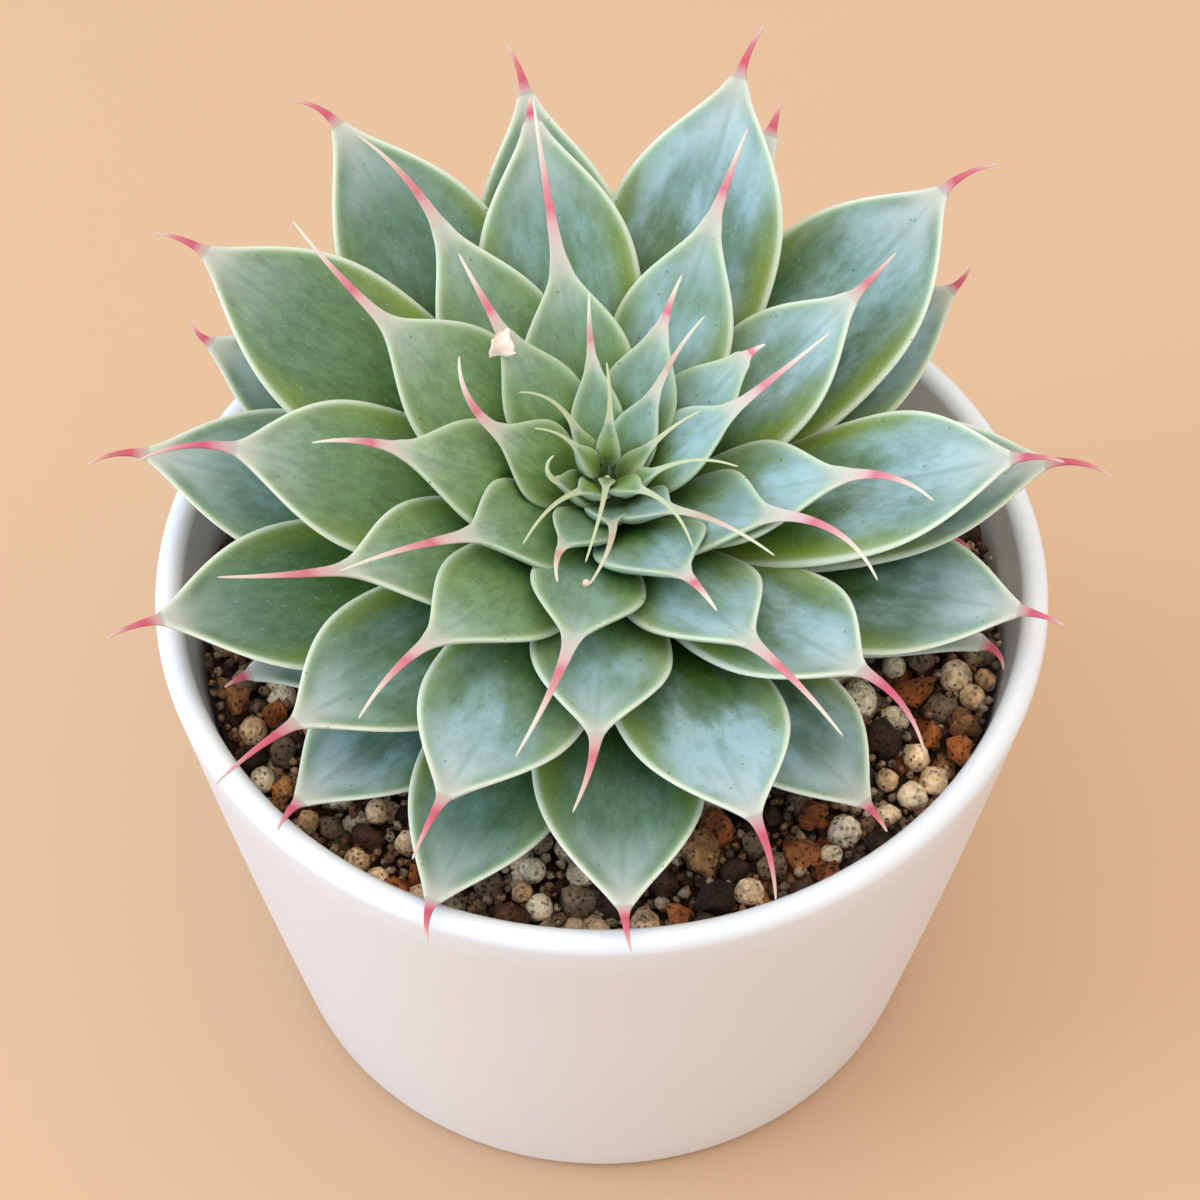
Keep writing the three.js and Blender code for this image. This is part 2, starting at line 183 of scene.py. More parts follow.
lamp("window", (-0.95, -0.20, 0.60), 0.7, 7.2, (0.55, 0.76, 1.0))
lamp("overhead", (0.10, -0.12, 1.30), 1.4, 8.6, (1.0, 0.80, 0.54))

# %% [markdown]
# The pot is one turned cup with a soft lip. It could be a cylinder with its ends scaled, but a potter draws a
# profile and turns it, and Blender's spin does the same: half of the outline is drawn once, on the +X side,
# and swept round the axis. The outer wall bellies out by a fraction of a millimetre halfway up, which
# keeps the highlight on the side from looking ruled.

# %% Turn the pot
POT_HEIGHT, RIM_RADIUS, LIP, BASE_RADIUS = 61, 45, 2.8, 35.5
FLOOR_RADIUS, FLOOR_THICKNESS, FOOT_ROUNDING = 32.5, 5, 2.2
BELLY = 0.22
CORNER_WIDTH, CORNER_HEIGHT = 1.5, 3


def arc(centre_x, centre_z, radius, start, end, steps):
    turns = [math.radians(start + (end - start) * k / steps) for k in range(steps + 1)]
    return [(centre_x + radius * math.cos(t), centre_z + radius * math.sin(t)) for t in turns]


def pot_profile():
    foot = arc(BASE_RADIUS - FOOT_ROUNDING, FOOT_ROUNDING, FOOT_ROUNDING, -90, -6, 6)
    lip = arc(RIM_RADIUS - LIP / 2, POT_HEIGHT - LIP / 2, LIP / 2, 0, 180, 12)
    wall = []
    for k in range(1, 12):
        share = k / 12
        belly = BELLY * math.sin(math.pi * share)
        across = foot[-1][0] + (lip[0][0] - foot[-1][0]) * share + belly
        wall.append((across, foot[-1][1] + (lip[0][1] - foot[-1][1]) * share))
    inside = [(FLOOR_RADIUS + CORNER_WIDTH, FLOOR_THICKNESS + CORNER_HEIGHT),
              (FLOOR_RADIUS - CORNER_WIDTH, FLOOR_THICKNESS)]
    return [(0, 0)] + foot + wall + lip + inside + [(0, FLOOR_THICKNESS)]


def turned(name, outline, steps):
    bm = bmesh.new()
    points = [bm.verts.new((x * MM, 0, z * MM)) for x, z in outline]
    edges = [bm.edges.new(pair) for pair in zip(points, points[1:])]
    bmesh.ops.spin(bm, geom=points + edges, cent=(0, 0, 0), axis=(0, 0, 1), dvec=(0, 0, 0),
                   angle=2 * math.pi, steps=steps, use_merge=True, use_duplicate=False)
    bmesh.ops.remove_doubles(bm, verts=bm.verts, dist=1e-6)
    bmesh.ops.recalc_face_normals(bm, faces=bm.faces)
    return finished(name, bm)


def finished(name, bm):
    mesh = bpy.data.meshes.new(name)
    bm.to_mesh(mesh)
    bm.free()
    mesh.shade_smooth()
    piece = bpy.data.objects.new(name, mesh)
    scene.collection.objects.link(piece)
    return piece


pot = turned("white_pot", pot_profile(), 128)
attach(pot, "root")
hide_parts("pot")
print("pot faces:", len(pot.data.polygons))

# %% [markdown]
# The glaze is a satin white. Real glaze is never one number: it is a little thicker and bluer in the hollows,
# and its gloss wanders. Here one slow noise tints it a little bluer in patches and lets the gloss wander, and
# a very low bump from a fine noise gives the faint orange-peel that softens the highlight.

# %% Glaze
glaze, tree, shader = painted("satin white glaze")
place = put(tree, "TexCoord").outputs["Object"]
cloud = speckle(tree, place, 45, 3)
fine = speckle(tree, place, 900, 2)
tint = mixed(tree, cloud, (0.83, 0.85, 0.90), (0.87, 0.885, 0.93))
tree.links.new(tint, shader.inputs["Base Color"])
gloss = put(tree, "MapRange", {"Value": cloud, "To Min": 0.30, "To Max": 0.42}).outputs["Result"]
tree.links.new(gloss, shader.inputs["Roughness"])
add_relief(tree, shader, fine, 0.12, 0.00005)
pot.data.materials.append(glaze)
print("glaze nodes:", len(tree.nodes))

# %% [markdown]
# Each leaf is thick and spoon-shaped: narrow at the foot, widest past the middle, and drawn in to an awn, a
# soft thread that is part of the leaf. Its section is like a boat, nearly flat above and deeper below. A leaf
# could be a bent grid, but then the thickness has to be added on. Here a closed section is drawn once and
# extruded along the midrib, station by station, as a lofted hull is, so the margin, the keel and the awn
# all belong to one skin.
#
# The rosette is laid out about its own axis, which leans ten degrees to the front. Each row below is one
# leaf, oldest first: heading in degrees (90 is the back), blade length, width, rise in degrees, awn length,
# and the sideways sweep of the awn. The last nine rows are the heart. A second table, by the same order
# counted from nought, says where a leaf is painted with more or less powder and light than its heading
# alone would give it.

# %% Leaf table
LEAVES = [
    (344, 34.5, 10.5, 5, 4, -80), (1, 30, 13.5, 7, 3.5, -80), (92, 35, 14.5, 9, 4, 0),
    (116, 37, 15, 11, 4, 10), (203, 34, 14, 6, 3, 15), (154, 41.5, 15, 13, 3, -30),
    (68, 43, 12, 19, 4, 5), (35, 40, 15, 16, 3.5, 25), (308, 36.5, 15, 13, 4, -15),
    (227, 39.5, 15.5, 12, 4, 25), (174, 43, 17, 15, 6.5, 50), (343, 39, 16.5, 15, 5, -20),
    (249, 42.5, 15.5, 13, 4.5, 35), (199, 43, 17, 17, 6, 20), (3, 41, 16.5, 18, 7.5, -50),
    (272, 42, 17, 16, 5, 10), (101, 43, 16.5, 24, 6, 20), (42, 45, 20, 23, 6.5, -45),
    (127, 46, 18, 27, 5.5, 65), (223, 38.5, 16.5, 21, 11, 10), (290, 38.5, 16.5, 22, 10.5, -20),
    (72, 44.7, 19.2, 28, 6.1, -20), (359, 39, 17, 25, 5.5, -30), (153, 45.5, 18, 27, 5.5, 30),
    (317, 32, 15, 25, 13, -40), (248, 40, 16, 25, 8.5, 5), (102, 38.5, 16.5, 32, 2.5, -15),
    (180, 36, 16.5, 26, 10.5, 40), (36, 30.5, 14, 29, 6.5, 10), (268, 30, 14, 28, 11, -20),
    (208, 29, 13.5, 31, 13.5, -20), (124, 31, 13, 31, 12.5, 25), (304, 24.5, 13.5, 31, 17, -5),
    (67, 29, 13, 34, 10, 0), (233, 29, 13, 33, 14, 15), (149, 27.5, 14, 35, 13.5, -20),
    (354, 23.5, 12.5, 31, 11, -50), (103, 23, 11.5, 38, 17, -5), (261, 23, 11.5, 36, 19.5, -15),
    (339, 17.5, 11.5, 35, 17, -55), (182, 22, 12, 37, 9.5, 20), (214, 17, 11.5, 38, 16.5, 0),
    (299, 16.5, 11.5, 40, 8, -5), (38, 18.5, 9.5, 36, 2.5, -25), (129, 18, 9, 40, 9.5, -10),
    (68, 16.5, 8.5, 43, 6, -5), (164, 12.5, 9, 43, 9, -80), (20, 15, 8, 42, 12.5, 15),
    (98, 12.5, 5.7, 46, 7, -10), (246, 11, 6.6, 41, 7, 35), (56, 10.5, 5.6, 50, 9.5, -15),
    (319, 9, 6, 45, 17, -10), (275, 6, 5.4, 47, 14.5, -30), (201, 6.5, 4.4, 54, 3.6, -190),
    (349, 6, 3.5, 54, 12, -30), (32, 5, 3, 38, 6, -10), (137, 6.5, 3.3, 60, 8.5, 75),
    (236, 5.5, 3.6, 50, 15.5, 15), (311, 5.5, 3.6, 44, 13.5, -30), (86, 5, 2.7, 58, 6, 15),
    (172, 5, 3, 62, 6, 30), (268, 3, 1.8, 47, 16.5, -12),
]
# Per-leaf changes to the leaf's powder value, which is partly powder and partly painted light.
BLOOM_AND_LIGHT_CHANGE = {
    9: 0.2, 10: 0.15, 11: -0.3, 12: -0.15, 13: -0.1, 14: -0.2, 15: -0.2, 17: -0.2, 18: 0.15, 19: 0.25,
    20: 0.4, 21: 0.5, 22: -0.15, 24: 0.1, 25: 0.4, 26: 0.1, 28: 0.2, 29: 0.2, 32: 0.3, 33: 0.2, 36: 0.55,
    39: 0.35, 42: 0.2, 43: -0.1, 46: -0.2,
}
HEART_LEAVES = 9
OLD_LEAVES = 28
ROSETTE_FOOT, ROSETTE_LEAN = (0.5, 3.5, 55), 10
rosette = Matrix.Translation(ROSETTE_FOOT) @ Matrix.Rotation(math.radians(ROSETTE_LEAN), 4, "X")
print("leaves:", len(LEAVES) - HEART_LEAVES, "and", HEART_LEAVES, "in the heart")

# %% [markdown]
# Three rules turn a row into a shape. The half-width swells to its widest a little past the middle of the
# blade and then draws in with a hollow curve, sooner and longer in the young leaves. The thickness is
# greatest in the middle and thins to the tip. The midrib bends up a little along the blade, and the awn
# droops and sweeps to one side. Pairs of numbers give a slim leaf's value and a full one's. A leaf counts
# as full when it is broad, though less so at the back.

# %% Rules of a leaf's growth
BACK_HEADING, BACK_FULLNESS = 95, 0.5
FOOT_WIDTH_SHARE, SWELLING_POWER = 0.34, 1.2
SHOULDER_POWER, HOLLOW_POWER = (2.2, 2.5), (1.8, 1.25)
MOST_THICK, FOOT_THICKNESS_SHARE, SWOLLEN_LENGTH = 3.7, 0.62, 0.75
THINNING, THINNING_FROM = 0.6, 0.45


def mix(low, high, share):
    return low + (high - low) * share


def ray(turn, tilt):
    t, u = math.radians(turn), math.radians(tilt)
    return Vector((math.cos(u) * math.cos(t), math.cos(u) * math.sin(t), math.sin(u)))


def clamped(value):
    return max(0.0, min(1.0, value))


def fullness(heading, width):
    behind = clamped(math.cos(math.radians(heading - BACK_HEADING))) ** 4
    return clamped((width - 12.5) / 2.5) * mix(1.0, BACK_FULLNESS, behind)


def half_width(along, width, awn_root, full):
    widest = mix(mix(0.26, 0.54, clamped((width - 3) / 3.5)), 0.60, full)
    if along < widest:
        swelling = math.sin(math.pi / 2 * along / widest) ** SWELLING_POWER
        return width / 2 * mix(FOOT_WIDTH_SHARE, 1, swelling)
    past = (along - widest) / (1 - widest)
    narrowing = (1 - past ** mix(*SHOULDER_POWER, full)) ** mix(*HOLLOW_POWER, full)
    return awn_root + (width / 2 - awn_root) * narrowing


def thickness_at(along, width):
    most = min(MOST_THICK, mix(0.44, 0.25, clamped((width - 3) / 6)) * width)
    swell = FOOT_THICKNESS_SHARE + 0.38 * math.sin(math.pi * min(1, along / SWOLLEN_LENGTH))
    return most * swell * (1 - THINNING * max(0, (along - THINNING_FROM) / 0.55) ** 2)


print("half of a 16 mm leaf near its tip:", round(half_width(0.9, 16, 1.1, 1.0), 1), "mm")

# %% [markdown]
# The loft itself. A circle gives the first section. Each step extrudes the open rim and lays its corners out
# afresh: the corner's own angle is kept in a layer, so it always knows which side of the leaf it is on. The
# same pass writes what the paint will need later: how far along the blade and the awn a point is, how far
# it is from the margin, whether it faces up, and how much powder its leaf carries together with painted
# light. Leaves crowd at their feet, and there neighbouring blades run into one another by a millimetre or
# so, mostly out of sight.

# %% Grow a leaf
LAYERS = ("around", "along", "out", "edge", "upper", "bloom_and_light", "youth")
UPPER_SHARE, LOWER_SHARE = 0.36, 0.64
ROLL, ROLL_POWER = 7, 0.8
BEND = 8


def grow_leaf(bm, order, sides, blade_steps, awn_steps):
    heading, blade, width, rise, awn, sweep = LEAVES[order]
    youth = order / len(LEAVES)
    numbers, vectors = bm.verts.layers.float, bm.verts.layers.float_vector
    layer = {name: numbers.get(name) or numbers.new(name) for name in LAYERS}
    lay = vectors.get("lay") or vectors.new("lay")
    full = fullness(heading, width)
    folded = clamped((youth - 0.5) / 0.35)
    awn_root = mix(0.5, 1.1, clamped((width - 3) / 6)) - 0.2 * full
    droop = mix(8, 34, youth)
    foot = mix(4.5, 0.7, youth ** 1.3)
    point = Vector((foot * math.cos(math.radians(heading)), foot * math.sin(math.radians(heading)),
                    mix(2.8, 20, youth) + 2 * clamped((youth - 0.84) / 0.1)))
    # The leaf's powder value is partly real powder and partly painted light: leaves on the right, whose upper
    # faces turn towards the window on the left, are painted paler.
    bloom_and_light = 0.55 + 0.42 * math.cos(math.radians(heading + 5)) + 0.3 * clamped((0.25 - youth) / 0.1)
    bloom_and_light = min(1.1, bloom_and_light + BLOOM_AND_LIGHT_CHANGE.get(order, 0.0))
    stations = [(mix(k / blade_steps, math.sin(math.pi / 2 * k / blade_steps), 0.35), 0.0)
                for k in range(blade_steps + 1)]
    stations += [(1.0, (k / awn_steps) ** 1.15) for k in range(1, awn_steps + 1)]
    circle = bmesh.ops.create_circle(bm, cap_ends=True, radius=1, segments=sides)["verts"]
    for corner in circle:
        corner[layer["around"]] = math.atan2(corner.co.y, corner.co.x)
    ring = list({edge for corner in circle for edge in corner.link_edges})
    before = (0.0, 0.0)
    travelled = 0.0
    for number, (along, out) in enumerate(stations):
        if number:
            made = bmesh.ops.extrude_edge_only(bm, edges=ring)["geom"]
            ring = [g for g in made if isinstance(g, bmesh.types.BMEdge)]
        middle, outward = (along + before[0]) / 2, (out + before[1]) / 2
        step = blade * (along - before[0]) + awn * (out - before[1])
        turn = heading + sweep * outward
        tilt = rise + BEND * (middle - 0.5) - droop * outward
        point = point + ray(turn, tilt) * step
        travelled += step
        before = (along, out)
        turn_here = heading + sweep * out
        tilt_here = rise + BEND * (along - 0.5) - droop * out
        forward = ray(turn_here, tilt_here)
        right = Vector((math.sin(math.radians(turn_here)), -math.cos(math.radians(turn_here)), 0))
        roll = 0 if out else ROLL * math.sin(math.pi * along ** ROLL_POWER)
        right.rotate(Matrix.Rotation(-math.radians(roll), 3, forward))
        up = right.cross(forward)
        half, deep = half_width(along, width, awn_root, full), thickness_at(along, width)
        if out:
            half = mix(awn_root, 0.1, out ** 0.4)
            deep = mix(deep, 0.16, out ** 0.55)
        cup = half * mix(0.05 + 0.24 * along ** 2, 0.14 + 0.34 * along, folded) * (1 - out) ** 2
        for corner in {corner for edge in ring for corner in edge.verts}:
            side, height = math.cos(corner[layer["around"]]), math.sin(corner[layer["around"]])
            share = UPPER_SHARE if height > 0 else LOWER_SHARE
            lift = share * deep * height + cup * abs(side) ** 1.8
            corner.co = rosette @ (point + right * half * side + up * lift) * MM
            corner[layer["along"]], corner[layer["out"]] = along, out
            corner[layer["edge"]] = half * (1 - abs(side))
            corner[layer["upper"]] = 0.5 + 0.5 * max(-1, min(1, height * 3))
            corner[layer["bloom_and_light"]], corner[layer["youth"]] = bloom_and_light, youth
            corner[lay] = (half * side, travelled, order * 7.3)
    bmesh.ops.edgeloop_fill(bm, edges=ring)


def leaf_piece(name, orders, sides, blade_steps, awn_steps, bud=None):
    bm = bmesh.new()
    for order in orders:
        grow_leaf(bm, order, sides, blade_steps, awn_steps)
    if bud:
        bud_height, bud_size = bud
        place = Matrix.Scale(MM, 4) @ rosette @ Matrix.Translation((0, 0, bud_height))
        place = place @ Matrix.Diagonal((*bud_size, 1))
        bmesh.ops.create_uvsphere(bm, u_segments=12, v_segments=8, radius=1, matrix=place)
    bmesh.ops.recalc_face_normals(bm, faces=bm.faces)
    piece = finished(name, bm)
    rounding = piece.modifiers.new("soft skin", "SUBSURF")
    rounding.levels = rounding.render_levels = 1
    return piece


leaves = []
for order in range(len(LEAVES) - HEART_LEAVES):
    broad = LEAVES[order][2] > 10
    sides, blade_steps = (20, 22) if broad else (14, 14)
    leaf = leaf_piece(f"silver_leaf_{order + 1:02d}", [order], sides, blade_steps, 9)
    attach(leaf, "root")
    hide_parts(f"leaf_{order + 1:02d}")
    leaves.append(leaf)
print("leaf faces before rounding:", sum(len(leaf.data.polygons) for leaf in leaves))

# %% [markdown]
# The heart is where the youngest leaves still stand pressed together. They are grown by the same rule into
# one piece, round a small bud that closes the growing point.

# %% Heart of the rosette
heart = leaf_piece("rosette_heart", range(len(LEAVES) - HEART_LEAVES, len(LEAVES)), 12, 12, 8,
                   bud=(18.6, (0.6, 0.6, 2.4)))
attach(heart, "root")
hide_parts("heart")
print("heart faces before rounding:", len(heart.data.polygons))

# %% [markdown]
# Where leaves overlap and shade one another, the green of the skin is darkened with painted shade, and the
# powder and the pale rim are painted thinner there. To paint that, each point of a leaf has to know how much
# sky it sees. Rays go out from it in a fixed fan of directions, and the share that gets away without meeting
# a leaf is written down as its openness.

# %% Measure the open sky
FAN = 26
GOLDEN_TURN = 2.39996
SIGHT = 30
fan = []
for k in range(FAN):
    rise = mix(0.25, 0.98, (k + 0.5) / FAN)
    turn = GOLDEN_TURN * k
    flat = math.sqrt(1 - rise * rise)
    fan.append(Vector((flat * math.cos(turn), flat * math.sin(turn), rise)))


def joined_tree(pieces):
    corners, faces = [], []
    for piece in pieces:
        start = len(corners)
        corners += [v.co.copy() for v in piece.data.vertices]
        faces += [[start + i for i in p.vertices] for p in piece.data.polygons]
    return BVHTree.FromPolygons(corners, faces)


rosette_tree = joined_tree(leaves + [heart])


def openness(corner):
    start = corner.co + corner.normal * 0.4 * MM
    return sum(rosette_tree.ray_cast(start, way, SIGHT * MM)[0] is None for way in fan) / FAN


for leaf in leaves + [heart]:
    seen = [openness(corner) for corner in leaf.data.vertices]
    leaf.data.attributes.new("open", "FLOAT", "POINT").data.foreach_set("value", seen)
print("rays:", FAN * sum(len(leaf.data.vertices) for leaf in leaves + [heart]))

# %% [markdown]
# A dry, papery scrap of an old leaf tip has caught where one inner awn begins, and a crumb lies on a leaf
# in front. The scrap is a small sheet, folded across and crumpled with seeded noise, then given a thickness.
# The places are read from the leaves themselves, so both stay on them if a leaf is moved. A ray from above
# finds the skin that the crumb lies on.

# %% Dry scrap and crumb
def awn_start(order):
    mesh = leaves[order].data
    along, out = (mesh.attributes[name].data for name in ("along", "out"))
    ring = [v.co for v in mesh.vertices if along[v.index].value > 0.999 and out[v.index].value < 0.001]
    return sum(ring, Vector()) / len(ring)


SCRAP_ON, CRUMB_ON = 44, 38
SCRAP_THICKNESS, CRUMB_RADIUS = 0.12, 0.42
noise.seed_set(11)
bm = bmesh.new()
sheet = bmesh.ops.create_grid(bm, x_segments=9, y_segments=7, size=1)["verts"]
for corner in sheet:
    x, y = corner.co.x, corner.co.y
    crumple = noise.noise_vector(Vector((x * 1.3, y * 1.6, 4.2))) * 0.45
    fold = 0.55 * abs(x + 0.25 * y)
    corner.co = Vector((x * (0.95 - 0.35 * y), y * 1.35, fold)) + crumple
bmesh.ops.solidify(bm, geom=bm.faces[:], thickness=SCRAP_THICKNESS)
place = awn_start(SCRAP_ON) + Vector((-0.2, -0.9, 0.3)) * MM
leaning = Matrix.Translation(place) @ Matrix.Rotation(0.7, 4, "X") @ Matrix.Scale(MM, 4)
bmesh.ops.transform(bm, matrix=leaning, verts=bm.verts)
above = awn_start(CRUMB_ON) + Vector((1.3, 9.6, 30)) * MM
crumb_at = rosette_tree.ray_cast(above, Vector((0, 0, -1)))[0] + Vector((0, 0, 0.25)) * MM
bmesh.ops.create_icosphere(bm, subdivisions=2, radius=CRUMB_RADIUS * MM,
                           matrix=Matrix.Translation(crumb_at))
bmesh.ops.recalc_face_normals(bm, faces=bm.faces)
scraps = finished("dry_scraps", bm)
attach(scraps, "root")
paper, tree, shader = painted("dry leaf scrap")
stain = speckle(tree, put(tree, "TexCoord").outputs["Object"], 900, 3, 0.6)
stained = mixed(tree, eased(tree, stain, 0.35, 0.65), (0.86, 0.66, 0.56), (0.93, 0.84, 0.74))
tree.links.new(stained, shader.inputs["Base Color"])
shader.inputs["Roughness"].default_value = 0.75
scraps.data.materials.append(paper)
print("scrap faces:", len(scraps.data.polygons))

# %% [markdown]
# Leaf skin, first the green body. It is darkest near the foot and paler towards the tip: the dark foot is
# partly the leaf's own deeper green and partly painted shade, and older leaves are darker than young ones.
# Where a point sees little sky, the green is darkened further with painted shade. All of it follows the
# values that the loft wrote, so it bends with the leaf. The effect is one node group, because the outer
# leaves, the inner leaves and the heart share it with different strengths.

# %% Powdered leaf group: the green body
FRESH_GREEN = (0.165, 0.27, 0.04)
PAINTED_SHADE_TINT, PAINTED_SKY_LIGHT_TINT = (0.24, 0.40, 0.18), (1.08, 1.08, 1.08)


def new_group(name, inputs, outputs):
    made = bpy.data.node_groups.new(name, "ShaderNodeTree")
    for socket, value in inputs.items():
        number = made.interface.new_socket(socket, in_out="INPUT", socket_type="NodeSocketFloat")
        number.default_value = value
    for socket, kind in outputs.items():
        made.interface.new_socket(socket, in_out="OUTPUT", socket_type="NodeSocket" + kind)
    return made, made.nodes.new("NodeGroupInput"), made.nodes.new("NodeGroupOutput")


powdered, given, result = new_group(
    "powdered leaf", {"Powder": 1.0, "Freshness": 0.0},
    {"Colour": "Color", "Roughness": "Float", "Relief": "Float"})
along, out = grown_value(powdered, "along"), grown_value(powdered, "out")
edge, upper = grown_value(powdered, "edge"), grown_value(powdered, "upper")
bloom_and_light, youth = grown_value(powdered, "bloom_and_light"), grown_value(powdered, "youth")
lay, sky = grown_value(powdered, "lay", "Vector"), grown_value(powdered, "open")
freshness = given.outputs["Freshness"]
streaked = put(powdered, "VectorMath", {0: lay, 1: (1.0, 0.45, 1.0)}, operation="MULTIPLY").outputs[0]
patches = speckle(powdered, streaked, 0.26, 2, 0.4)
mottle = speckle(powdered, streaked, 1.0, 4, 0.65)
grain = speckle(powdered, lay, 5.5, 3, 0.7)

# Partly painted shade: the dark low end of these ramps, at the foot, stands partly for the shade under the
# leaves above.
old_green = ramp(powdered, along, [
    (0.0, (0.042, 0.095, 0.006)), (0.40, (0.056, 0.128, 0.010)), (0.60, (0.060, 0.142, 0.030)),
    (0.80, (0.066, 0.152, 0.068)), (0.94, (0.11, 0.19, 0.11)), (1.0, (0.34, 0.40, 0.31))])
young_green = ramp(powdered, along, [
    (0.0, (0.02, 0.055, 0.005)), (0.22, (0.05, 0.12, 0.015)), (0.45, (0.115, 0.215, 0.055)),
    (0.75, (0.20, 0.32, 0.16)), (1.0, (0.48, 0.58, 0.45))])
foot_green = mixed(powdered, eased(powdered, youth, 0.22, 0.60), old_green, young_green)
sprouting = product(powdered, freshness, eased(powdered, along, 0.1, 0.7))
fresh = mixed(powdered, sprouting, foot_green, FRESH_GREEN)
shade = eased(powdered, mottle, 0.25, 0.75, 0.75, 1.22)
body = mixed(powdered, 1.0, fresh, grey_of(powdered, shade), "MULTIPLY")
# Painted shade: where a point sees little sky the green is darkened to a deeper green, and where it is open
# it is lightened a little.
painted_shade = mixed(powdered, eased(powdered, sky, 0.0, 0.42), PAINTED_SHADE_TINT, PAINTED_SKY_LIGHT_TINT)
body = mixed(powdered, 1.0, body, painted_shade, "MULTIPLY")
print("green body nodes:", len(powdered.nodes))

# %% [markdown]
# Over the green lies the bloom, a blue-white powder. It is painted thick where the leaf is open to the sky
# and thin towards the sheltered foot, so it is partly powder and partly painted light and shade. Its
# lightness follows each leaf's own value, partly the powder it carries and partly painted light on the
# leaves whose upper faces turn to the window. The margin is a yellow-green band, partly its own colour and
# partly a painted glow of light through the thin edge, with a pale rim at its edge that is painted paler
# where it is open to the sky and whose thin edge line is partly a painted highlight. Near the tip a pale
# streak beside the midrib is partly powder and partly a painted highlight, a darker line on the midrib is
# painted shade in its groove, and fine flecks and dark dots keep the skin from looking sprayed.

# %% Powdered leaf group: powder, rim and marks
THIN_POWDER, THICK_POWDER = (0.14, 0.25, 0.22), (0.355, 0.535, 0.60)
UNDERSIDE = (0.36, 0.47, 0.42)
MARGIN_GREEN_AND_GLOW = (0.23, 0.32, 0.04)
SOFT_RIM_AND_LIGHT, HARD_RIM_AND_HIGHLIGHT = (0.45, 0.58, 0.33), (0.84, 0.90, 0.79)
POWDER_AND_HIGHLIGHT_STREAK, CREASE_SHADE = (0.60, 0.71, 0.73), (0.12, 0.23, 0.20)
FLECK, DOT = (0.52, 0.62, 0.54), (0.10, 0.13, 0.06)
TIP_BLUSH = (0.62, 0.60, 0.55)

reach = sum_of(powdered, "ADD", along, eased(powdered, patches, 0.2, 0.8, -0.18, 0.18))
reach = sum_of(powdered, "ADD", reach, eased(powdered, youth, 0.3, 0.9, 0.0, 0.2))
# Partly painted light and shade: the powder is painted thicker where a point sees more sky, and it follows
# the leaf's value, which is higher on the leaves turned to the window.
powder_and_light_cover = product(powdered, bloom_and_light, eased(powdered, reach, 0.34, 0.84),
                eased(powdered, mottle, 0.3, 0.7, 0.65, 1.15),
                eased(powdered, sky, 0.05, 0.6, 0.3, 1.1),
                eased(powdered, along, 0.78, 1.0, 1.15, 0.55))
powder_and_light_cover = sum_of(powdered, "MULTIPLY", powder_and_light_cover, given.outputs["Powder"], clamp=True)
# Partly painted light: the powder's lightness follows the same per-leaf value.
powder = product(powdered, eased(powdered, patches, 0.32, 0.68, 0.35, 1.0),
                 eased(powdered, bloom_and_light, 0.1, 0.9, 0.1, 1.2))
powder = mixed(powdered, powder, THIN_POWDER, THICK_POWDER)
bloomed_and_lit = mixed(powdered, powder_and_light_cover, body, powder)
under = product(powdered, sum_of(powdered, "SUBTRACT", 1.0, upper), 0.6)
bloomed_and_lit = mixed(powdered, under, bloomed_and_lit, UNDERSIDE)

# Partly painted light: the yellow-green band along the margin of the old leaves' feet is partly their own
# colour and partly light glowing through the thin edge.
old_foot = product(powdered, eased(powdered, along, 0.55, 0.9, 0.9, 0.1),
                   eased(powdered, youth, 0.3, 0.7, 1.0, 0.25))
margin_and_glow = product(powdered, old_foot, eased(powdered, edge, 0.6, 4.2, 1.0, 0.0))
bloomed_and_lit = mixed(powdered, margin_and_glow, bloomed_and_lit, MARGIN_GREEN_AND_GLOW)
# Partly painted light: the soft pale rim is the margin's own colour, painted paler where a point sees more
# sky.
soft_rim_and_light = product(powdered, eased(powdered, edge, 0.0, 1.5, 1.0, 0.0),
                   eased(powdered, along, 0.05, 0.4, 0.2, 0.75),
                   eased(powdered, sky, 0.05, 0.6, 0.2, 1.0),
                   eased(powdered, youth, 0.6, 0.9, 1.0, 0.3))
rimmed = mixed(powdered, soft_rim_and_light, bloomed_and_lit, SOFT_RIM_AND_LIGHT)
# Partly painted highlight: the thin pale edge line is partly the margin's own colour and partly a painted
# highlight.
hard_rim_and_highlight = product(powdered, eased(powdered, edge, 0.0, 0.85, 0.85, 0.0),
                   eased(powdered, youth, 0.35, 0.75, 1.0, 0.3))
rimmed = mixed(powdered, hard_rim_and_highlight, rimmed, HARD_RIM_AND_HIGHLIGHT)

# Partly painted highlight: the pale streak down the middle near the tip is partly powder and partly a painted
# highlight.
streak_powder_and_highlight = product(powdered, eased(powdered, edge, 0.6, 3.2),
                   eased(powdered, along, 0.74, 0.98, 0.0, 0.65),
                   eased(powdered, bloom_and_light, 0.1, 0.6, 0.3, 1.0))
tipped = mixed(powdered, streak_powder_and_highlight, rimmed, POWDER_AND_HIGHLIGHT_STREAK)
from_midrib = put(powdered, "SeparateXYZ", {"Vector": lay}).outputs["X"]
from_midrib = sum_of(powdered, "ABSOLUTE", from_midrib)
